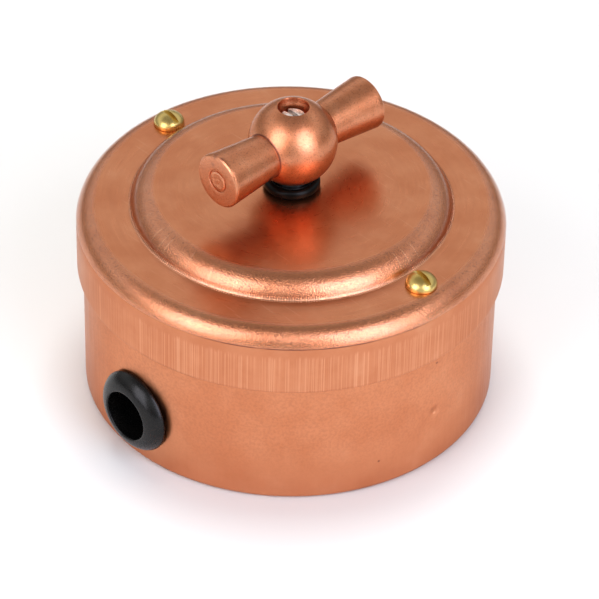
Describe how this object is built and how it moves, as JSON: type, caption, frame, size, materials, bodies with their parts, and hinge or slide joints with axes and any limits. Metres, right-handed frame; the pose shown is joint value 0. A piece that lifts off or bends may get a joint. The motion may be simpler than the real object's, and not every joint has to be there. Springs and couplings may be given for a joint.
{
  "type": "rotary switch",
  "caption": "Surface-mounted rotary light switch in a round drawn-copper case with a stepped lid, a rubber cable grommet and a turned copper bar knob.",
  "frame": {"origin": "middle of the base's underside, which lies on the wall", "axes": "+Z away from the wall along the spindle, -Y out through the cable entry, the lid's screws along X"},
  "size_m": [0.076, 0.0776, 0.0578],
  "materials": {
    "copper": "satin, brushed",
    "knob_copper": "satin",
    "brass": "satin",
    "nickel": "polished",
    "steel": "zinc plated",
    "spring_steel": "bright drawn",
    "black_rubber": "satin",
    "black_plastic": "satin",
    "porcelain": "glazed",
    "bakelite": "moulded"
  },
  "bodies": {
    "case": {"base_cup": "copper", "cable_grommet": "black_rubber", "mounting_strap": "steel", "lid_pillars": "brass", "lid": "copper", "lid_screws": "brass", "spindle_bush": "black_plastic", "earth_washer": "brass", "earth_screw": "brass", "switch_body": "porcelain", "body_screws": "steel", "fixed_contacts": "brass", "terminal_blocks": "brass", "terminal_screws": "brass", "bearing_bracket": "steel", "click_housing": "steel", "click_ball": "spring_steel", "click_spring": "spring_steel"},
    "turning_set": {"knob": "knob_copper", "knob_screw": "nickel", "spindle": "steel", "spindle_clip": "spring_steel", "thrust_washer": "steel", "click_disc": "bakelite", "rotor": "bakelite", "contact_bridge": "brass"}
  },
  "joints": [
    {"name": "knob_turn", "type": "hinge", "parent": "case", "child": "turning_set", "pos_m": [0, 0, 0.04335], "axis": [0, 0, 1], "continuous": true}
  ]
}
